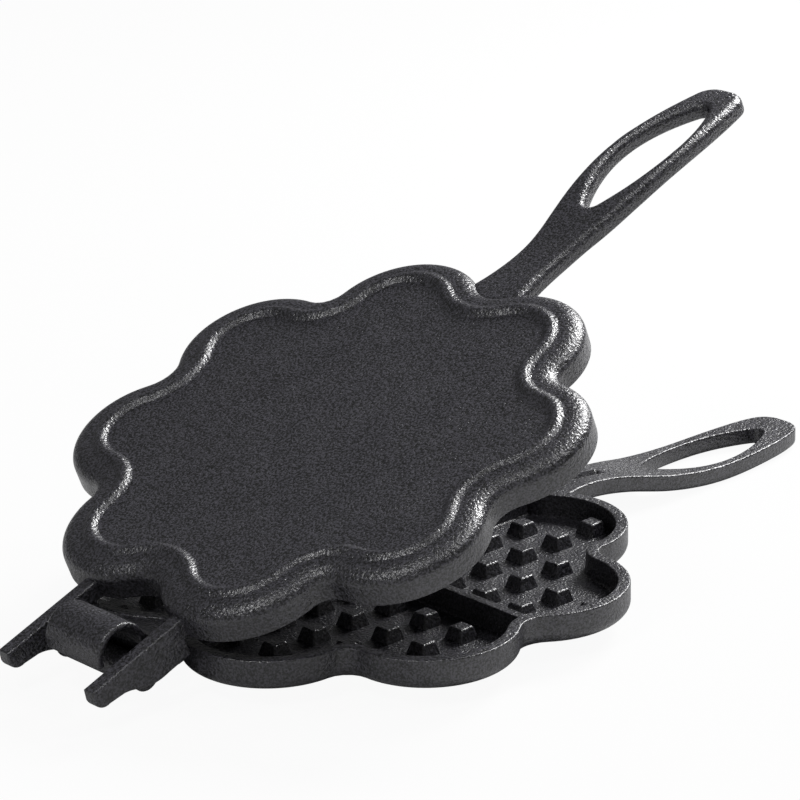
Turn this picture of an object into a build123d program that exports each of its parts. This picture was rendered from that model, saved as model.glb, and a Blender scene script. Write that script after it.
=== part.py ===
# Stovetop waffle iron: two iron castings that hinge on a loose crossbar.
# Millimetres, +Z up, +X towards the handles, +Y across. The origin is the centre of the
# flat sunken underside of the lower plate. The lid is stored part open.
from build123d import *

import os
from math import atan2, cos, degrees, radians, sin, sqrt

os.makedirs("parts", exist_ok=True)

# ---- wavy outline shared by both plates
lobe_count = 8
lobe_centre_radius = 69.8  # from the plate centre to each lobe centre
lobe_radius = 31.8
notch_radius = 11.0  # between lobes, on the four axes
cleft_radius = 6.5  # between lobes, on the diagonals, the dip of each heart

# ---- section of a plate, measured from its rim outwards
side_height = 7.0
shoulder_rise = 6.6
shoulder_width = 12.2
crest_land = 0.8
recess_slope = 2.8
recess_depth = 1.9
well_depth = 8.5
rim_width = 4.0
wall_draft = 5.0
rib_width = 2.8
corner_radius = 2.4

# ---- studs in the wells
stud_pitch = 17.8
stud_first = 14.3  # from the middle of a rib to the first row
stud_drop = 3.8  # stud tops below the rim
stud_top = 6.0
stud_base = 8.8
stud_sink = 0.3  # how far a stud's foot runs into the well's floor
stud_rows = ((0, 3), (0, 4), (0, 2), (0, 1), (1, 1))  # first and last stud of each row

# ---- how the lid sits
lid_gap = 0.3  # between the closed rims
lid_inset = 1.0  # the lid outline is this much smaller all round
lid_shift = -2.0  # the loose hinge lets the lid sit towards the hook
rest_opening = 20.9  # degrees

# ---- hinge, lengths from the pivot, heights from the parting plane
pivot_out = 18.713  # the pivot beyond the lobes beside it
pivot_z = -5.0
bar_radius = 5.2
bar_clearance = 0.5
arm_inner, arm_outer = 20.3, 26.0
arm_top = 7.5
arm_tip_out = 24.0
arm_root_in = 16.5  # where an arm meets the lid's wall
arm_end_in = 20.8  # where it ends inside the lid's rim
hook_out, hook_z = 4.3, 2.8
hook_radius = 10.4
hook_wall = 2.4
hook_half_width = 14.6
hook_lip_angle = 200

# ---- handles, (x, half width) and (x, height of the top face above the parting plane)
handle_thickness = 6.8
grip_bevel = 1.2  # edges on the side the hand closes on
root_turn = 37  # half the arc a handle's root takes of its notch, degrees
root_depth = 3.0  # how far a handle or the hook runs into the rim
upper_handle_plan = ((88, 12.6), (105, 9.9), (128, 11.8), (205, 12.8), (219.5, 8))
upper_handle_top = ((80, 10.1), (112, 10.3), (130, 12.4), (150, 15.4), (168, 16.8), (188, 16.2), (224, 12.8))
upper_loop = (136.5, 172, 11.2, 210.5)  # near end, widest place and its half width, far end
lower_handle_plan = ((90.5, 12.8), (108, 9.5), (132, 10.9), (209, 13.2), (226, 8))
lower_handle_top = ((80, -1.2), (108, -1.6), (128, -4.2), (148, -8.4), (166, -10.7), (184, -11.3), (230, -10))
lower_loop = (143.5, 180, 11.5, 215.5)
loop_end_round = 3.5
tip_round = 6.0
groove_start, groove_end = 92.0, 123.0
groove_half_width = 2.4
groove_depth = 1.8

# ---- derived
crest_height = side_height + shoulder_rise
floor_height = crest_height - recess_depth
parting_z = floor_height
stud_height = well_depth - stud_drop
stud_foot = stud_base + stud_sink * (stud_base - stud_top) / stud_height
half_step = 180 / lobe_count
lobe_along = lobe_centre_radius * cos(radians(half_step))
lobe_across = lobe_centre_radius * sin(radians(half_step))
notch_reach = lobe_along + sqrt((lobe_radius + notch_radius) ** 2 - lobe_across**2)
pivot_x = -(lobe_along + lobe_radius + pivot_out)
arm_tip_x = pivot_x - arm_tip_out
arm_root_x = pivot_x + arm_root_in
arm_end_x = pivot_x + arm_end_in
hook_x = pivot_x - hook_out
web_x = 2 * notch_radius - notch_reach  # the hook's web ends in the rim, along the notch
pivot = Vector(pivot_x, 0, parting_z + pivot_z)
hinge_line = Axis(pivot, (0, -1, 0))


def upright_plane(y):
    # seen from the side, heights counted from the parting plane
    return Plane(origin=(0, y, parting_z), x_dir=(1, 0, 0), z_dir=(0, -1, 0))


def wavy_outline(plane, inset):
    # sixteen tangent arcs: a lobe, then the dip after it
    dips = []
    for dip in (notch_radius, cleft_radius):
        reach = lobe_along + sqrt((lobe_radius + dip) ** 2 - lobe_across**2)
        turn = degrees(atan2(reach * sin(radians(half_step)),
                             reach * cos(radians(half_step)) - lobe_centre_radius))
        dips.append((dip, reach, turn))
    with BuildSketch(plane) as outline:
        with BuildLine():
            for k in range(lobe_count):
                lobe_angle = half_step * (2 * k + 1)
                before, after = dips[k % 2], dips[(k + 1) % 2]
                centre = (lobe_centre_radius * cos(radians(lobe_angle)),
                          lobe_centre_radius * sin(radians(lobe_angle)))
                CenterArc(centre, lobe_radius - inset, lobe_angle - before[2], before[2] + after[2])
                dip, reach, turn = after
                dip_angle = lobe_angle + half_step
                centre = (reach * cos(radians(dip_angle)), reach * sin(radians(dip_angle)))
                CenterArc(centre, dip + inset, lobe_angle + turn + 180, 2 * (half_step - turn))
        make_face()
    return outline.sketch


def plate(rim_plane, inset):
    # side wall, rounded shoulder up to the crest, the sunken outer face, four hearts
    # parted by crossed ribs, and the studs standing in them
    crest_inset = inset + shoulder_width
    with BuildPart() as body:
        extrude(wavy_outline(rim_plane, inset), amount=side_height)
        loft([
            wavy_outline(rim_plane.offset(side_height + shoulder_rise * sin(radians(lift))),
                         inset + shoulder_width * (1 - cos(radians(lift))))
            for lift in (0, 22.5, 45, 67.5, 90)
        ], ruled=True)
        loft([wavy_outline(rim_plane.offset(crest_height), crest_inset + crest_land),
              wavy_outline(rim_plane.offset(floor_height), crest_inset + crest_land + recess_slope)],
             ruled=True, mode=Mode.SUBTRACT)
        with BuildSketch(rim_plane) as hearts:
            add(wavy_outline(Plane.XY, inset + rim_width))
            Rectangle(rib_width, 4 * lobe_centre_radius, mode=Mode.SUBTRACT)
            Rectangle(4 * lobe_centre_radius, rib_width, mode=Mode.SUBTRACT)
            points = hearts.vertices().sort_by_distance((0, 0, 0))[:4]
            fillet(points, corner_radius)
        extrude(amount=well_depth, taper=wall_draft, mode=Mode.SUBTRACT)
        spots = [
            rim_plane.location * Location((side_x * (stud_first + stud_pitch * row),
                                           side_y * (stud_first + stud_pitch * place),
                                           stud_drop + (stud_height + stud_sink) / 2))
            for row, (first, last) in enumerate(stud_rows)
            for place in range(first, last + 1)
            for side_x in (-1, 1)
            for side_y in (-1, 1)
        ]
        narrow, wide = (stud_foot - stud_top) / 2, (stud_foot + stud_top) / 2
        with Locations(*spots):
            Wedge(stud_foot, stud_height + stud_sink, stud_foot, narrow, narrow, wide, wide,
                  rotation=(-90, 0, 0))
    return body.part


# face picks the handle's rounded side: 0 its underside, -1 its top
def loop_handle(root_x, root_radius, plan, top, loop, face):
    # a band following the rise of the handle, cut to its plan and pierced by the loop
    below = [(x, z - handle_thickness) for x, z in top]
    with BuildPart() as handle:
        with BuildSketch(upright_plane(30)):
            with BuildLine():
                Spline(*top)
                Line(top[-1], below[-1])
                Spline(*below)
                Line(top[0], below[0])
            make_face()
        extrude(amount=60)
        with BuildSketch(Plane.XY.offset(-20)) as grip:
            with BuildLine():
                root = CenterArc((root_x, 0), root_radius, 180 - root_turn, 2 * root_turn)
                join = Line(root @ 0, plan[0])
                neck = ThreePointArc(*plan[:3])
                bow = TangentArc(neck @ 1, plan[3], tangent=neck % 1)
                end = TangentArc(bow @ 1, plan[4], tangent=bow % 1)
                mirror([join, neck, bow, end], about=Plane.XZ)
                Line(plan[4], (plan[4][0], -plan[4][1]))
            make_face()
            corners = grip.vertices().sort_by(Axis.X)[-2:]
            fillet(corners, tip_round)
            with BuildSketch(mode=Mode.PRIVATE) as opening:
                with BuildLine():
                    bow = ThreePointArc((loop[0], 0), (loop[1], loop[2]), (loop[3], 0))
                    mirror(bow, about=Plane.XZ)
                make_face()
                fillet(opening.vertices(), loop_end_round)
            add(opening.sketch, mode=Mode.SUBTRACT)
        extrude(amount=60, mode=Mode.INTERSECT)
        rims = handle.faces().sort_by(Axis.Z)[face].edges()
        chamfer(rims.filter_by(lambda line: line.center().X > plan[1][0]), grip_bevel)
    return handle.part


def hook():
    # half-round barrel open underneath, and the web that carries it from the plate
    mouth = (hook_x + 2 * hook_radius * cos(radians(hook_lip_angle)),
             hook_z + 2 * hook_radius * sin(radians(hook_lip_angle)))
    with BuildPart() as barrel:
        with BuildSketch(upright_plane(0)):
            with Locations((hook_x, hook_z)):
                Circle(hook_radius)
            Polygon((hook_x, hook_z), (pivot_x + 4.2, 8.8), (pivot_x + 9.5, 3.2),
                    (pivot_x + 14, 0.4), (pivot_x + 18.5, -0.7), (web_x, -0.7), (web_x, -9.4),
                    (pivot_x + 14, -9.4), (pivot_x + 6, -7.6), (pivot_x, pivot_z), align=None)
            Polygon((hook_x, hook_z), mouth, (mouth[0], mouth[1] - 20),
                    (pivot_x + 1, mouth[1] - 20), (pivot_x, pivot_z), align=None,
                    mode=Mode.SUBTRACT)
            with Locations((pivot_x, pivot_z)):
                Circle(bar_radius + bar_clearance, mode=Mode.SUBTRACT)
            with Locations((hook_x, hook_z)):
                Circle(hook_radius - hook_wall, mode=Mode.SUBTRACT)
            # straight side of the slot between the seat and the barrel's hollow
            Polygon((hook_x, hook_z), (hook_x + hook_radius - hook_wall, hook_z),
                    (pivot_x + bar_radius + bar_clearance, pivot_z), (pivot_x, pivot_z),
                    align=None, mode=Mode.SUBTRACT)
        extrude(amount=hook_half_width, both=True)
        with BuildSketch(Plane.XY.offset(-60)):
            with Locations((-notch_reach, 0)):
                Circle(notch_radius + root_depth)
            with Locations((-notch_reach, 0)):
                Rectangle(60, 2 * hook_half_width, align=(Align.MAX, Align.CENTER))
        extrude(amount=120, mode=Mode.INTERSECT)
    return barrel.part


def arms_and_bar():
    with BuildPart() as yoke:
        for side in (-1, 1):
            with BuildSketch(upright_plane(side * (arm_inner + arm_outer) / 2)):
                with BuildLine():
                    Polyline((arm_end_x, lid_gap), (arm_end_x, arm_top),
                             (arm_tip_x + 0.6, arm_top), (arm_tip_x, 3.6))
                    ThreePointArc((arm_tip_x, 3.6), (arm_tip_x + 1.5, 0.9), (arm_tip_x + 5.2, -0.5))
                    Line((arm_tip_x + 5.2, -0.5), (pivot_x - 12.5, -1.2))
                    ThreePointArc((pivot_x - 12.5, -1.2), (pivot_x - 9, -2.6), (pivot_x - 6, -4.4))
                    ThreePointArc((pivot_x - 6, -4.4), (pivot_x - 1, -6.2), (pivot_x + 6, -6.6))
                    Polyline((pivot_x + 6, -6.6), (arm_root_x, -6.6), (arm_root_x, lid_gap),
                             (arm_end_x, lid_gap))
                make_face()
            extrude(amount=(arm_outer - arm_inner) / 2, both=True)
        with BuildSketch(upright_plane(0)):
            with Locations((pivot_x, pivot_z)):
                Circle(bar_radius)
        extrude(amount=arm_inner + 0.5, both=True)
    return yoke.part


lower_rim = Plane(origin=(0, 0, parting_z), x_dir=(1, 0, 0), z_dir=(0, 0, -1))
upper_rim = Plane(origin=(lid_shift, 0, parting_z + lid_gap))

with BuildPart() as lower_plate:
    add(plate(lower_rim, 0))
    add(loop_handle(notch_reach, notch_radius + root_depth, lower_handle_plan,
                    lower_handle_top, lower_loop, 0))
    # shallow channel in the handle's top, deepest at its outer end
    with BuildSketch(upright_plane(0)):
        Polygon((groove_start, 2), (groove_start, -1.9), (groove_end - 1, -3 - groove_depth),
                (groove_end, 2), align=None)
    extrude(amount=groove_half_width, both=True, mode=Mode.SUBTRACT)
    add(hook())

with BuildPart() as closed_lid:
    add(plate(upper_rim, lid_inset))
    add(loop_handle(notch_reach + lid_shift, notch_radius + lid_inset + root_depth, upper_handle_plan,
                    upper_handle_top, upper_loop, -1))
    add(arms_and_bar())

# the lid swung open on the crossbar
with BuildPart() as upper_plate:
    add(closed_lid.part.rotate(hinge_line, rest_opening))

lower_plate.part.label = "lower_plate"
export_step(lower_plate.part, "parts/lower_plate.step")
upper_plate.part.label = "upper_plate"
export_step(upper_plate.part, "parts/upper_plate.step")
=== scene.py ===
from math import atan2, ceil, cos, pi, radians, sin, sqrt

import bmesh
import bpy
from mathutils import Matrix, Vector


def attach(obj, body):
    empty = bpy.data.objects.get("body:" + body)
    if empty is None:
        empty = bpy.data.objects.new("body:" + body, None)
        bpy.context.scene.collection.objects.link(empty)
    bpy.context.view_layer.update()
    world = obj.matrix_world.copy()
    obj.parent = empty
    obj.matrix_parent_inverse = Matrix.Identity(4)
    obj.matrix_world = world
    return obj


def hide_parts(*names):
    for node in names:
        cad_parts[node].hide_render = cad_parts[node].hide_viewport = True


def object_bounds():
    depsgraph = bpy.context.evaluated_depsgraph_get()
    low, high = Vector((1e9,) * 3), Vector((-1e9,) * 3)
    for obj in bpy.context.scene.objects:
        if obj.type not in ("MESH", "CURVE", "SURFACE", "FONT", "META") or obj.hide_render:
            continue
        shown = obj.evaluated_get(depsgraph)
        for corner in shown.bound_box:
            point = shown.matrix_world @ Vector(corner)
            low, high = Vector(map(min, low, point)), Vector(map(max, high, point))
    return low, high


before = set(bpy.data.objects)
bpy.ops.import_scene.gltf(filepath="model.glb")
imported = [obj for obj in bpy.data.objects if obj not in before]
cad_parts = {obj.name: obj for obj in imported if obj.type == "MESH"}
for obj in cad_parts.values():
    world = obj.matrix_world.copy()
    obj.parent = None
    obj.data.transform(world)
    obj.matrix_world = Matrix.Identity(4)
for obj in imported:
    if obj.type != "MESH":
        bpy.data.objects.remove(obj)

cadLow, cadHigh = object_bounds()
mm = 0.001
scene = bpy.context.scene

# Everything is modelled in millimetres from the parting plane of the closed iron,
# x towards the handles, then laid into the frame in metres.
partingHeight = 11.7
hingeLine = {"x": -115.0, "z": 6.7, "opening": 20.9}  # the lid stands open by so many degrees
lidShift = {"x": -2.0, "gap": 0.3, "inset": 1.0}  # how the closed lid lies on the lower plate


def hexColour(code):
    # sRGB hex to the linear values that shaders take
    parts = [int(code[i:i + 2], 16) / 255 for i in (1, 3, 5)]
    return [c / 12.92 if c <= 0.04045 else ((c + 0.055) / 1.055) ** 2.4 for c in parts] + [1.0]


def roundSteps(radius, count=4, width=None):
    # (inward, up) moves that carry an edge round a quarter circle, or an ellipse of that width
    width = radius if width is None else width
    turns = [pi / 2 * k / count for k in range(count + 1)]
    marks = [(width * (1 - cos(t)), radius * sin(t)) for t in turns]
    return [(b[0] - a[0], b[1] - a[1]) for a, b in zip(marks, marks[1:])]


def easeSteps(width, rise, count):
    # (inward, up) moves over a soft S-shaped step
    marks = [(width * k / count, rise * (1 - cos(pi * k / count)) / 2) for k in range(count + 1)]
    return [(b[0] - a[0], b[1] - a[1]) for a, b in zip(marks, marks[1:])]


def insetBy(bm, faces, steps):
    for inward, up in steps:
        bmesh.ops.inset_region(bm, faces=faces, thickness=inward, depth=up,
                               use_even_offset=True, use_boundary=True)


def arcOn(bm, vert, centre, turn, step):
    # carry a vertex round a centre, leaving edges behind it
    reach = (vert.co - Vector((*centre, vert.co.z))).length
    steps = max(1, ceil(abs(turn) * reach / step))
    made = bmesh.ops.spin(bm, geom=[vert], cent=(*centre, 0), axis=(0, 0, 1), dvec=(0, 0, 0),
                          angle=turn, steps=steps, use_duplicate=False)
    return [g for g in made["geom_last"] if isinstance(g, bmesh.types.BMVert)][0]


def arcTo(bm, vert, heading, target, step):
    # a tangent arc from vert to target; gives the last vertex and the heading there
    chord = Vector(target) - vert.co.xy
    side = Vector((-heading.y, heading.x))
    centre = vert.co.xy + side * chord.length_squared / (2 * chord.dot(side))
    turn = 2 * atan2(heading.cross(chord), heading.dot(chord))
    last = arcOn(bm, vert, centre, turn, step)
    return last, Matrix.Rotation(turn, 2) @ heading


def lineOn(bm, vert, *targets):
    for target in targets:
        last = bm.verts.new((*target, vert.co.z))
        bm.edges.new((vert, last))
        vert = last
    return vert


def everything(bm):
    # all of a mesh, as the operators take it
    return bm.verts[:] + bm.edges[:] + bm.faces[:]


def turnFaces(faces, up):
    # level faces all looking up, or all looking down
    for face in faces:
        face.normal_update()
        if (face.normal.z > 0) != up:
            face.normal_flip()


def fillFlat(bm, edges, up):
    # a flat skin between an outline and the openings in it
    made = bmesh.ops.triangle_fill(bm, edges=edges, use_beauty=True, use_dissolve=False,
                                   normal=(0, 0, 1 if up else -1))
    faces = [g for g in made["geom"] if isinstance(g, bmesh.types.BMFace)]
    turnFaces(faces, up)
    return faces


def slab(bm, faces, thickness, topRound, underRound):
    # thicken a flat skin downwards and round its rims as a casting's are
    made = bmesh.ops.extrude_face_region(bm, geom=faces)["geom"]
    upper = [g for g in made if isinstance(g, bmesh.types.BMFace)]
    for skin, drop in ((upper, topRound), (faces, thickness - underRound)):
        bmesh.ops.translate(bm, verts=list({v for f in skin for v in f.verts}), vec=(0, 0, -drop))
    turnFaces(upper, True)
    turnFaces(faces, False)
    insetBy(bm, upper, roundSteps(topRound))
    insetBy(bm, faces, roundSteps(underRound))


def cutAcross(bm, axis, places, dropBelow=False):
    # cross-cuts at places along an axis; the extra edges let a flat skin bend
    for place in places:
        way = Vector((0, 0, 0))
        way[axis] = 1
        bmesh.ops.bisect_plane(bm, geom=everything(bm), dist=1e-5, plane_co=way * place, plane_no=way,
                               clear_inner=dropBelow)


def heightAt(points, x):
    # smooth height through a few (x, height) points
    k = max(0, min(len(points) - 2, sum(p[0] <= x for p in points) - 1))
    def slope(i):
        low, high = max(i - 1, 0), min(i + 1, len(points) - 1)
        return (points[high][1] - points[low][1]) / (points[high][0] - points[low][0])
    (x0, z0), (x1, z1) = points[k], points[k + 1]
    span = x1 - x0
    t = (x - x0) / span
    return (z0 * (2 * t**3 - 3 * t**2 + 1) + z1 * (3 * t**2 - 2 * t**3)
            + span * (slope(k) * (t**3 - 2 * t**2 + t) + slope(k + 1) * (t**3 - t**2)))


upright = Matrix(((1, 0, 0, 0), (0, 0, -1, 0), (0, 1, 0, 0), (0, 0, 0, 1)))  # sketch plane to side view
toLower = Matrix.Translation((0, 0, partingHeight))
turnOver = toLower @ Matrix.Rotation(pi, 4, "X")
hingeSpot = Matrix.Translation((hingeLine["x"], 0, hingeLine["z"]))
toOpen = hingeSpot @ Matrix.Rotation(radians(hingeLine["opening"]), 4, (0, -1, 0)) @ hingeSpot.inverted()
toLid = toOpen @ Matrix.Translation((0, 0, partingHeight))
toLidPlate = toOpen @ Matrix.Translation((lidShift["x"], 0, partingHeight + lidShift["gap"]))
crispAngle = 38  # degrees; an edge that turns more than this shades as an edge


def finishPiece(bm, name, place, body, node, material):
    # lay a mesh into the frame, close and shade it, give it its body and finish, and hide the node that
    # it stands in for
    bmesh.ops.transform(bm, matrix=Matrix.Scale(mm, 4) @ place, verts=bm.verts[:])
    bmesh.ops.remove_doubles(bm, verts=bm.verts[:], dist=1e-6)
    bmesh.ops.dissolve_degenerate(bm, dist=1e-7, edges=bm.edges[:])
    bmesh.ops.recalc_face_normals(bm, faces=bm.faces[:])
    for face in bm.faces:
        face.smooth = True
    for edge in bm.edges:
        if len(edge.link_faces) == 2 and edge.calc_face_angle(0) > radians(crispAngle):
            edge.smooth = False
    mesh = bpy.data.meshes.new(name)
    bm.to_mesh(mesh)
    openEdges = sum(len(e.link_faces) != 2 for e in bm.edges)
    bm.free()
    piece = bpy.data.objects.new(name, mesh)
    scene.collection.objects.link(piece)
    mesh.materials.append(material)
    soften = piece.modifiers.new("evenShading", "WEIGHTED_NORMAL")
    soften.keep_sharp = True
    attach(piece, body)
    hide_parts(node)
    print("made", name, "faces", len(mesh.polygons), "open edges", openEdges)


def emptyTree(owner):
    # the node tree of a material or a world, cleared
    owner.use_nodes = True
    owner.node_tree.nodes.clear()
    return owner.node_tree


def addNode(tree, kind, links=(), **settings):
    # one node with its settings; links are (input, other node, its output)
    node = tree.nodes.new(kind)
    for key, value in settings.items():
        if hasattr(node, key):
            setattr(node, key, value)
        else:
            node.inputs[key.replace("_", " ")].default_value = value
    for socket, other, output in links:
        tree.links.new(other.outputs[output], node.inputs[socket])
    return node


castIron = {
    "colour": "#0b0b0d", "pale": "#44434a", "specks": (0.41, 0.6),  # grain levels, all dark to all pale
    "ior": 1.75, "roughness": 0.34,
    "glossier": 0.05, "duller": 0.06, "swells": (0.3, 0.7),  # gloss shifts, over these swell levels
    "grain": 0.8, "pebble": 1.3, "swell": 14.0,  # mm; sand grains of 0.2 to 0.4, drawn coarser to show
    "grainDepth": 0.28, "pebbleDepth": 0.2,  # mm
}


def seasonedCastIron(name, settings):
    # sand-cast iron under baked-on oil: near black with pale specks, half glossy, its highlights
    # broken up by the skin that the sand leaves; black scale under the oil lifts the IOR
    material = bpy.data.materials.new(name)
    tree = emptyTree(material)
    where = addNode(tree, "ShaderNodeTexCoord")
    grain = addNode(tree, "ShaderNodeTexNoise", [("Vector", where, "Object")],
                    Scale=1 / (settings["grain"] * mm), Detail=1.0, Roughness=0.6)
    pebble = addNode(tree, "ShaderNodeTexVoronoi", [("Vector", where, "Object")],
                     feature="SMOOTH_F1", Scale=1 / (settings["pebble"] * mm), Smoothness=0.7)
    swell = addNode(tree, "ShaderNodeTexNoise", [("Vector", where, "Object")],
                    Scale=1 / (settings["swell"] * mm), Detail=3.0)
    tone = addNode(tree, "ShaderNodeValToRGB", [("Fac", grain, "Fac")])
    for stop, level, colour in zip(tone.color_ramp.elements, settings["specks"], ("colour", "pale")):
        stop.position = level
        stop.color = hexColour(settings[colour])
    low, high = settings["swells"]
    shine = addNode(tree, "ShaderNodeMapRange", [("Value", swell, "Fac")], From_Min=low, From_Max=high,
                    To_Min=settings["roughness"] - settings["glossier"],
                    To_Max=settings["roughness"] + settings["duller"])
    pebbleBump = addNode(tree, "ShaderNodeBump", [("Height", pebble, "Distance")],
                         Strength=1.0, Distance=settings["pebbleDepth"] * mm, invert=True)
    grainBump = addNode(tree, "ShaderNodeBump",
                        [("Height", grain, "Fac"), ("Normal", pebbleBump, "Normal")],
                        Strength=1.0, Distance=settings["grainDepth"] * mm)
    iron = addNode(tree, "ShaderNodeBsdfPrincipled",
                   [("Base Color", tone, "Color"), ("Roughness", shine, "Result"),
                    ("Normal", grainBump, "Normal")], IOR=settings["ior"])
    addNode(tree, "ShaderNodeOutputMaterial", [("Surface", iron, "BSDF")])
    return material


lidIron = seasonedCastIron("seasonedCastIronLid", castIron)
baseIron = seasonedCastIron("seasonedCastIronBase", castIron)
print("materials ready")


# lobes with a dip after each: notches on the four axes, clefts on the diagonals
waves = {"lobes": 8, "lobeCentre": 69.8, "lobeRadius": 31.8, "notchRadius": 11.0, "cleftRadius": 6.5,
         "step": 2.4}  # the longest edge that an arc is drawn with
plateForm = {
    # the outer face, from the side wall inwards
    "side": 7.0, "shoulderRise": 5.2, "shoulderWidth": 7.4, "shoulderSteps": 14, "shoulderLand": 0.7,
    "ridgeWidth": 3.2, "ridgeRise": 1.4, "ridgeSteps": 6, "crestLand": 0.6,
    "recessWidth": 3.3, "recessDepth": 1.9, "recessSteps": 7,
    # the cooking face, with a heart-shaped well in each quarter; the draft is in degrees
    "edgeRound": 0.6, "edgeSteps": 3, "rim": 4.0, "rib": 2.8, "ribCorner": 2.4,
    "wellDepth": 8.5, "draft": 5.0, "wellRound": 0.5, "floorRound": 1.0,
}
studForm = {
    "pitch": 17.8, "first": 14.3,  # the first row, from the middle of a rib
    "top": 6.0, "base": 8.8, "drop": 3.8, "sunk": 0.3, "round": 0.7,  # tops drop below the rim
    "rows": ((0, 3), (0, 4), (0, 2), (0, 1), (1, 1)),  # first and last stud of each row
}


def dipReach(radius):
    # how far from the middle a dip's centre lies for it to touch both lobes beside it
    half = pi / waves["lobes"]
    along, across = waves["lobeCentre"] * cos(half), waves["lobeCentre"] * sin(half)
    return along + sqrt((waves["lobeRadius"] + radius) ** 2 - across**2)


def waveFace(bm, inset, height):
    # sixteen tangent arcs spun from one vertex: a lobe, then the dip after it
    half = pi / waves["lobes"]
    dips = []  # how far out each is centred, and where on a lobe it takes over
    for reach in (dipReach(waves["notchRadius"]), dipReach(waves["cleftRadius"])):
        dips.append((reach, atan2(reach * sin(half), reach * cos(half) - waves["lobeCentre"])))
    size = waves["lobeRadius"] - inset
    angle = half - dips[0][1]
    first = bm.verts.new((waves["lobeCentre"] * cos(half) + size * cos(angle),
                          waves["lobeCentre"] * sin(half) + size * sin(angle), height))
    vert = first
    for k in range(waves["lobes"]):
        lobeAngle = half * (2 * k + 1)
        before, after = dips[k % 2], dips[(k + 1) % 2]
        centre = (waves["lobeCentre"] * cos(lobeAngle), waves["lobeCentre"] * sin(lobeAngle))
        vert = arcOn(bm, vert, centre, before[1] + after[1], waves["step"])
        dipAngle = lobeAngle + half
        centre = (after[0] * cos(dipAngle), after[0] * sin(dipAngle))
        vert = arcOn(bm, vert, centre, 2 * (half - after[1]), waves["step"])
    bmesh.ops.pointmerge(bm, verts=[first, vert], merge_co=first.co.copy())
    edges = [e for e in bm.edges if not e.link_faces]
    return bmesh.ops.contextual_create(bm, geom=edges)["faces"][0]


def hearts(bm, inset):
    # one quarter of the wavy face between the ribs, with its inner corner rounded, four times
    scrap = bmesh.new()
    waveFace(scrap, inset + plateForm["rim"], 0)
    for axis in (0, 1):
        cutAcross(scrap, axis, [plateForm["rib"] / 2], dropBelow=True)
    corner = min(scrap.verts, key=lambda v: v.co.length)
    bmesh.ops.bevel(scrap, geom=[corner], offset=plateForm["ribCorner"], offset_type="OFFSET", segments=5,
                    profile=0.5, affect="VERTICES", material=-1)
    for axis in ("X", "Y"):
        bmesh.ops.mirror(scrap, geom=everything(scrap), matrix=Matrix.Identity(4), merge_dist=1e-4,
                         axis=axis)
    quarters = bpy.data.meshes.new("quarters")
    scrap.to_mesh(quarters)
    scrap.free()
    known = set(bm.faces)
    bm.from_mesh(quarters)
    bpy.data.meshes.remove(quarters)
    return [f for f in bm.faces if f not in known]


def addStuds(bm):
    # square tapered studs in rows, the same in all four wells
    form = studForm
    height = plateForm["wellDepth"] + form["sunk"] - form["drop"]
    foot = form["base"] + form["sunk"] * (form["base"] - form["top"]) / (height - form["sunk"])
    rounded = []
    for row, (first, last) in enumerate(form["rows"]):
        for place in range(first, last + 1):
            for sideX in (-1, 1):
                for sideY in (-1, 1):
                    spot = Vector((sideX * (form["first"] + form["pitch"] * row),
                                   sideY * (form["first"] + form["pitch"] * place),
                                   form["drop"] + height / 2))
                    cube = bmesh.ops.create_cube(bm, size=1, matrix=Matrix.Translation(spot)
                                                 @ Matrix.Diagonal((foot, foot, height, 1)))["verts"]
                    narrow = [v for v in cube if v.co.z < spot.z]
                    bmesh.ops.scale(bm, verts=narrow, vec=(form["top"] / foot,) * 2 + (1,),
                                    space=Matrix.Translation(-spot))
                    rounded += [e for e in {e for v in cube for e in v.link_edges}
                                if min(v.co.z for v in e.verts) < spot.z]
    bmesh.ops.bevel(bm, geom=rounded, offset=form["round"], offset_type="OFFSET", segments=3,
                    profile=0.5, affect="EDGES", material=-1)


def wavyPlate(inset):
    # modelled with the cooking face down at height 0 and the outer face up
    form = plateForm
    bm = bmesh.new()
    outer = waveFace(bm, inset, form["edgeRound"])
    raised = bmesh.ops.extrude_face_region(bm, geom=[outer])["geom"]
    top = [g for g in raised if isinstance(g, bmesh.types.BMFace)][0]
    bmesh.ops.translate(bm, verts=top.verts[:], vec=(0, 0, form["side"] - form["edgeRound"]))
    turnFaces([top], True)
    turnFaces([outer], False)
    insetBy(bm, [top], roundSteps(form["shoulderRise"], form["shoulderSteps"], form["shoulderWidth"]))
    insetBy(bm, [top], [(form["shoulderLand"], 0)])
    insetBy(bm, [top], easeSteps(form["ridgeWidth"], form["ridgeRise"], form["ridgeSteps"]))
    insetBy(bm, [top], [(form["crestLand"], 0)])
    insetBy(bm, [top], easeSteps(form["recessWidth"], -form["recessDepth"], form["recessSteps"]))
    insetBy(bm, [outer], roundSteps(form["edgeRound"], form["edgeSteps"]))
    rim = outer.edges[:]
    bmesh.ops.delete(bm, geom=[outer], context="FACES_ONLY")
    wells = hearts(bm, inset)
    print("heart wells", len(wells))
    border = [e for well in wells for e in well.edges]
    fillFlat(bm, rim + border, up=False)
    wall = form["wellDepth"] - form["wellRound"] - form["floorRound"]
    turnFaces(wells, False)
    brink = [(up, -inward) for inward, up in roundSteps(form["wellRound"], form["edgeSteps"])]
    floorEdge = [(inward, -up) for inward, up in roundSteps(form["floorRound"])]
    for well in wells:
        insetBy(bm, [well], brink)
        insetBy(bm, [well], [(wall * sin(radians(form["draft"])), -wall)])
        insetBy(bm, [well], floorEdge)
    addStuds(bm)
    return bm


finishPiece(wavyPlate(0), "lowerPlateCasting", turnOver, "base", "lower_plate", baseIron)
finishPiece(wavyPlate(lidShift["inset"]), "lidCasting", toLidPlate, "lid", "upper_plate",
            lidIron)


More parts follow.
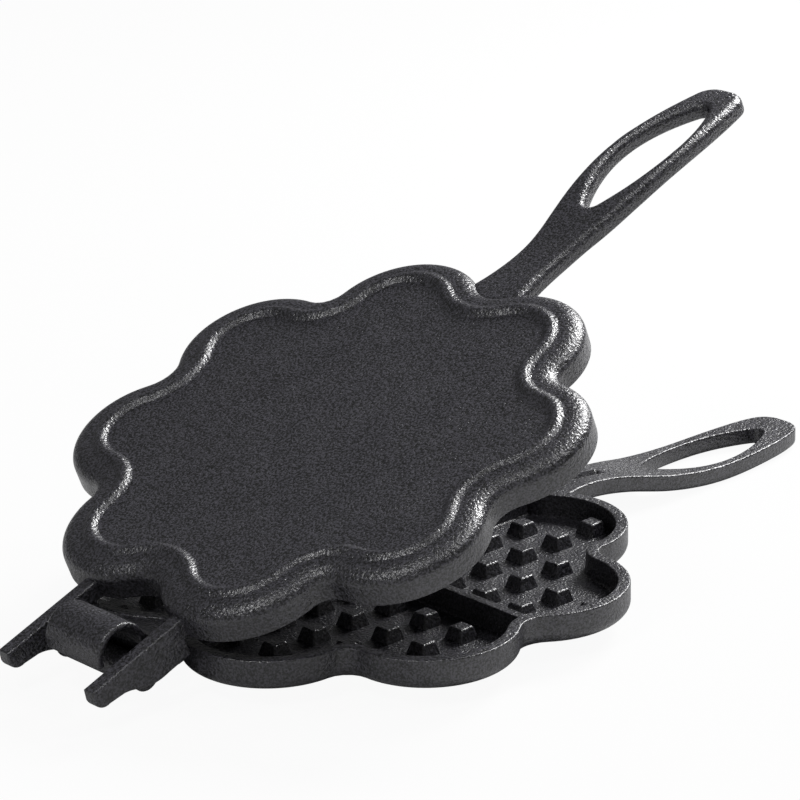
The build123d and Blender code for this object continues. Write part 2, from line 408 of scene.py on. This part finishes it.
# places on the plan are (x, half width), headings (along, across), places on the top (x, height)
notchReach = dipReach(waves["notchRadius"])
lidHandle = {
    "rootX": notchReach + lidShift["x"], "rootRadius": 15.0, "rootTurn": 37.0,  # degrees
    "neckStart": (88.0, 12.6), "neckHeading": (1.0, -0.261), "neckEnd": (128.0, 11.8),
    "bowEnd": (203.5, 13.1), "tipStart": (214.0, 10.9), "tip": 220.8,
    "loop": {"near": 136.5, "far": 210.5, "halfWidth": 11.2, "endRound": 3.5},
    "thickness": 6.8, "topRound": 3.0, "underRound": 1.0,
    "top": ((80, 10.1), (112, 10.3), (130, 12.4), (150, 15.4), (168, 16.8), (188, 16.2), (224, 12.8)),
    "bends": {"first": 84.0, "spacing": 3.5, "count": 41},  # cross-cuts along x
    "step": 2.2, "tightStep": 1.1,
}
lowerHandle = dict(
    lidHandle, rootX=notchReach, rootRadius=14.0,
    neckStart=(90.5, 12.8), neckHeading=(1.0, -0.31), neckEnd=(132.0, 10.9),
    bowEnd=(209.0, 13.5), tipStart=(219.6, 11.0), tip=226.0,
    loop={"near": 143.5, "far": 215.5, "halfWidth": 11.5, "endRound": 3.5},
    topRound=0.7, underRound=2.0,
    top=((80, -1.2), (108, -1.6), (128, -4.2), (148, -8.4), (166, -10.7), (184, -11.3), (230, -10)),
    groove={"start": 92.0, "end": 123.0, "halfWidth": 2.4, "wall": 0.9, "depth": 1.8,
            "runIn": 12.0, "runOut": 1.5},
)


def handleSkin(bm, form):
    # half the plan from its root in the notch to the tip
    vert = bm.verts.new((form["rootX"] - form["rootRadius"], 0, 0))
    vert = arcOn(bm, vert, (form["rootX"], 0), -radians(form["rootTurn"]), form["step"])
    vert = lineOn(bm, vert, form["neckStart"])
    heading = Vector(form["neckHeading"]).normalized()
    for place in ("neckEnd", "bowEnd", "tipStart"):
        vert, heading = arcTo(bm, vert, heading, form[place], form["step"])
    turn = atan2(heading.y, heading.x) + pi / 2
    bend = (form["tip"] - vert.co.x) / (1 - cos(turn))
    centre = vert.co.xy + bend * Vector((heading.y, -heading.x))
    vert = arcOn(bm, vert, centre, -turn, form["tightStep"])
    lineOn(bm, vert, (vert.co.x, 0))
    # half the loop, a long bow with a small round at each end
    loop = form["loop"]
    middle = (loop["near"] + loop["far"]) / 2
    reach = (loop["far"] - loop["near"]) / 2
    bow = (reach**2 + loop["halfWidth"] ** 2) / (2 * loop["halfWidth"])
    drop = bow - loop["halfWidth"]
    along = sqrt((bow - loop["endRound"]) ** 2 - drop**2)
    lean = atan2(drop, along)
    vert = bm.verts.new((middle + along + loop["endRound"], 0, 0))
    vert = arcOn(bm, vert, (middle + along, 0), lean, form["tightStep"])
    vert = arcOn(bm, vert, (middle, -drop), pi - 2 * lean, form["step"])
    arcOn(bm, vert, (middle - along, 0), lean, form["tightStep"])
    # both mirrored, and the skin filled between them
    bmesh.ops.mirror(bm, geom=bm.verts[:] + bm.edges[:], matrix=Matrix.Identity(4),
                     merge_dist=1e-3, axis="Y")
    bmesh.ops.remove_doubles(bm, verts=bm.verts[:], dist=1e-3)
    return fillFlat(bm, bm.edges[:], up=True)


def pressGroove(bm, groove):
    # a shallow channel in the top skin, sloping in from the root and ending steeply
    inner = groove["halfWidth"] - groove["wall"]
    cutAcross(bm, 1, [side * width for side in (-1, 1) for width in (groove["halfWidth"], inner)])
    floorWidth, skinDepth = inner + 0.4, 0.5  # within these a vertex belongs to the channel's floor
    for vert in bm.verts:
        past, left = vert.co.x - groove["start"], groove["end"] - vert.co.x
        if abs(vert.co.y) < floorWidth and vert.co.z > -skinDepth and past > 0 and left > 0:
            vert.co.z -= groove["depth"] * min(1, past / groove["runIn"], left / groove["runOut"])


def handlePiece(form):
    bm = bmesh.new()
    skin = handleSkin(bm, form)
    slab(bm, skin, form["thickness"], form["topRound"], form["underRound"])
    bends = form["bends"]
    cutAcross(bm, 0, [bends["first"] + bends["spacing"] * k for k in range(bends["count"])])
    if "groove" in form:
        pressGroove(bm, form["groove"])
    for vert in bm.verts:
        vert.co.z += heightAt(form["top"], vert.co.x)
    return bm


finishPiece(handlePiece(lowerHandle), "lowerHandle", toLower, "base", "lower_plate", baseIron)
finishPiece(handlePiece(lidHandle), "lidHandle", toLid, "lid", "upper_plate", lidIron)


# the hook belongs to the lower plate, the arms and crossbar to the lid; places are (x, height)
pivot = Vector((hingeLine["x"], hingeLine["z"] - partingHeight))
hookForm = {
    "centre": (-119.3, 2.8), "radius": 10.4, "wall": 2.4, "halfWidth": 14.6,
    "lip": 200.0, "crown": 35.2,  # degrees round the centre, from the free lip to the web
    "seat": 5.7,  # round the pivot, for the crossbar with its clearance
    "web": ((-105.5, 3.2), (-101.0, 0.4), (-96.5, -0.7), (-80.0, -0.7), (-80.0, -9.4), (-101.0, -9.4),
            (-109.0, -7.6)),
    "webEnd": -90.0, "intoRim": 3.0, "cutSpacing": 2.0, "round": 1.0, "step": 1.2,
}
armForm = {
    "inner": 20.3, "outer": 26.0, "top": 7.5, "tip": -139.0, "root": -98.5, "end": -94.2,
    "nose": {"back": 0.6, "height": 3.6, "heading": (0.05, -1.0)},  # the blunt front of the tip
    "chin": (5.2, -0.5), "heel": (-12.5, -1.2),  # x from the tip, and from the pivot here and below
    "belly": (((1.0, -0.25), (-6.0, -4.4)), ((1.0, -0.5), (6.0, -6.6))),  # headings and where they lead
    "bar": 5.2, "barFillet": 0.4, "barSunk": 0.5, "barSteps": 40, "round": 0.9, "step": 1.2,
}


def hookPiece():
    form = hookForm
    bm = bmesh.new()
    centre = Vector(form["centre"])
    lip = radians(form["lip"])
    start = centre + form["radius"] * Vector((cos(lip), sin(lip)))
    first = bm.verts.new((*start, 0))
    vert = arcOn(bm, first, centre, radians(form["crown"]) - lip, form["step"])
    vert = lineOn(bm, vert, *form["web"])
    toWeb = Vector(form["web"][-1]) - pivot
    lean = atan2(toWeb.y, toWeb.x)
    vert = lineOn(bm, vert, pivot + form["seat"] * toWeb.normalized())
    vert = arcOn(bm, vert, pivot, -lean, form["step"])
    hollow = form["radius"] - form["wall"]
    vert = lineOn(bm, vert, centre + Vector((hollow, 0)))
    vert = arcOn(bm, vert, centre, lip, form["step"])
    bm.edges.new((vert, first))
    skin = fillFlat(bm, bm.edges[:], up=True)
    slab(bm, skin, 2 * form["halfWidth"], form["round"], form["round"])
    bmesh.ops.translate(bm, verts=bm.verts[:], vec=(0, 0, form["halfWidth"]))
    bmesh.ops.transform(bm, matrix=upright, verts=bm.verts[:])
    # the web ends along the wall of the notch
    cuts = int(form["halfWidth"] / form["cutSpacing"])
    cutAcross(bm, 1, [form["cutSpacing"] * k for k in range(-cuts, cuts + 1)])
    reach = waves["notchRadius"] + form["intoRim"]
    for vert in bm.verts:
        if vert.co.x > form["webEnd"]:
            vert.co.x = sqrt(max(0.0, reach**2 - vert.co.y**2)) - notchReach
    return bm


def armSlab(side):
    # one arm, drawn from the side and thickened across the iron
    form = armForm
    nose, chin, heel, gap = form["nose"], form["chin"], form["heel"], lidShift["gap"]
    bm = bmesh.new()
    first = bm.verts.new((form["end"], gap, 0))
    vert = lineOn(bm, first, (form["end"], form["top"]), (form["tip"] + nose["back"], form["top"]),
                  (form["tip"], nose["height"]))
    heading = Vector(nose["heading"]).normalized()
    vert, heading = arcTo(bm, vert, heading, (form["tip"] + chin[0], chin[1]), form["step"])
    vert = lineOn(bm, vert, (pivot.x + heel[0], heel[1]))
    for way, (along, height) in form["belly"]:
        vert, heading = arcTo(bm, vert, Vector(way).normalized(), (pivot.x + along, height), form["step"])
    vert = lineOn(bm, vert, (form["root"], height), (form["root"], gap))
    bm.edges.new((vert, first))
    skin = fillFlat(bm, bm.edges[:], up=True)
    width = form["outer"] - form["inner"]
    slab(bm, skin, width, form["round"], form["round"])
    bmesh.ops.translate(bm, verts=bm.verts[:],
                        vec=(0, 0, width / 2 - side * (form["inner"] + form["outer"]) / 2))
    arm = bpy.data.meshes.new("arm")
    bm.to_mesh(arm)
    bm.free()
    return arm


def armsPiece():
    form = armForm
    bm = bmesh.new()
    for side in (-1, 1):
        arm = armSlab(side)
        bm.from_mesh(arm)
        bpy.data.meshes.remove(arm)
    # the crossbar, spun from its side line with small fillets where it meets the arms
    inner, bar, fillet = form["inner"], form["bar"], form["barFillet"]
    end = inner + form["barSunk"]
    marks = [(bar + fillet, end)]
    marks += [(bar + fillet * (1 - sin(t)), inner - fillet * (1 - cos(t))) for t in (0, pi / 4, pi / 2)]
    places = [(0, -end)] + [(radius, -z) for radius, z in marks] + marks[::-1] + [(0, end)]
    line = [bm.verts.new((pivot.x + radius, pivot.y, z)) for radius, z in places]
    edges = [bm.edges.new(pair) for pair in zip(line, line[1:])]
    bmesh.ops.spin(bm, geom=line + edges, cent=(*pivot, 0), axis=(0, 0, 1), dvec=(0, 0, 0),
                   angle=2 * pi, steps=form["barSteps"], use_merge=True, use_duplicate=False)
    bmesh.ops.transform(bm, matrix=upright, verts=bm.verts[:])
    return bm


finishPiece(hookPiece(), "hook", toLower, "base", "lower_plate", baseIron)
finishPiece(armsPiece(), "armsAndCrossbar", toLid, "lid", "upper_plate", lidIron)


# floorSize in metres; cameraWhite is the share of plain white in the floor as the camera sees it,
# and the rest of it keeps the shadow
stageSettings = {"floor": "#d6d6d6", "floorSize": 12.0, "world": 0.14, "cameraWhite": 0.94}
# soft panels aimed at the middle of the iron; angle and rise in degrees, far and size in metres
lamps = {
    "softboxBehindRight": {"angle": 7.0, "rise": 36.0, "far": 1.1, "size": (0.42, 0.42), "watts": 16.0},
    "panelAboveLeft": {"angle": -166.0, "rise": 49.0, "far": 1.1, "size": (0.2, 0.2), "watts": 3.0},
    "panelAboveFront": {"angle": -62.0, "rise": 60.0, "far": 1.1, "size": (0.26, 0.26), "watts": 2.4},
}
cameraSettings = {"place": (-0.8382191, -0.9432977, 0.5269915), "turn": (70.03679, 1.24044, -42.79834),
                  "lens": 172.031, "sensor": 36.0}  # metres, degrees, then millimetres

floorMesh = bpy.data.meshes.new("paleFloor")
floorBuild = bmesh.new()
bmesh.ops.create_grid(floorBuild, x_segments=1, y_segments=1, size=stageSettings["floorSize"] / 2,
                      matrix=Matrix.Translation((0, 0, cadLow.z)))
floorBuild.to_mesh(floorMesh)
floorBuild.free()
floor = bpy.data.objects.new("paleFloor", floorMesh)
scene.collection.objects.link(floor)
paper = bpy.data.materials.new("mattPaper")  # plain pale sweep, brightened where the camera sees it
tree = emptyTree(paper)
matt = addNode(tree, "ShaderNodeBsdfDiffuse", Color=hexColour(stageSettings["floor"]))
white = addNode(tree, "ShaderNodeEmission", Strength=1.0)
ray = addNode(tree, "ShaderNodeLightPath")
share = addNode(tree, "ShaderNodeMath", [(0, ray, "Is Camera Ray")], operation="MULTIPLY")
share.inputs[1].default_value = stageSettings["cameraWhite"]
mixed = addNode(tree, "ShaderNodeMixShader", [(0, share, 0), (1, matt, 0), (2, white, 0)])
addNode(tree, "ShaderNodeOutputMaterial", [("Surface", mixed, 0)])
floorMesh.materials.append(paper)
print("floor ready")

world = bpy.data.worlds.new("studio")  # even fill on the iron, plain white where the camera sees it
scene.world = world
tree = emptyTree(world)
fill = addNode(tree, "ShaderNodeBackground", Color=(1, 1, 1, 1), Strength=stageSettings["world"])
plain = addNode(tree, "ShaderNodeBackground", Color=(1, 1, 1, 1), Strength=1.0)
ray = addNode(tree, "ShaderNodeLightPath")
seen = addNode(tree, "ShaderNodeMixShader", [(0, ray, "Is Camera Ray"), (1, fill, 0), (2, plain, 0)])
addNode(tree, "ShaderNodeOutputWorld", [("Surface", seen, 0)])

target = (cadLow + cadHigh) / 2
for name, lamp in lamps.items():
    data = bpy.data.lights.new(name, "AREA")
    data.shape = "RECTANGLE"
    data.size, data.size_y = lamp["size"]
    data.energy = lamp["watts"]
    light = bpy.data.objects.new(name, data)
    scene.collection.objects.link(light)
    angle, rise = radians(lamp["angle"]), radians(lamp["rise"])
    away = Vector((cos(angle) * cos(rise), sin(angle) * cos(rise), sin(rise)))
    light.location = target + away * lamp["far"]
    light.rotation_euler = away.to_track_quat("Z", "Y").to_euler()
print("lights ready")

camera = bpy.data.objects.new("camera", bpy.data.cameras.new("camera"))
scene.collection.objects.link(camera)
camera.location = cameraSettings["place"]
camera.rotation_euler = [radians(a) for a in cameraSettings["turn"]]
camera.data.lens = cameraSettings["lens"]
camera.data.sensor_width = cameraSettings["sensor"]
scene.camera = camera
scene.view_settings.view_transform = "Standard"

print("scene ready")
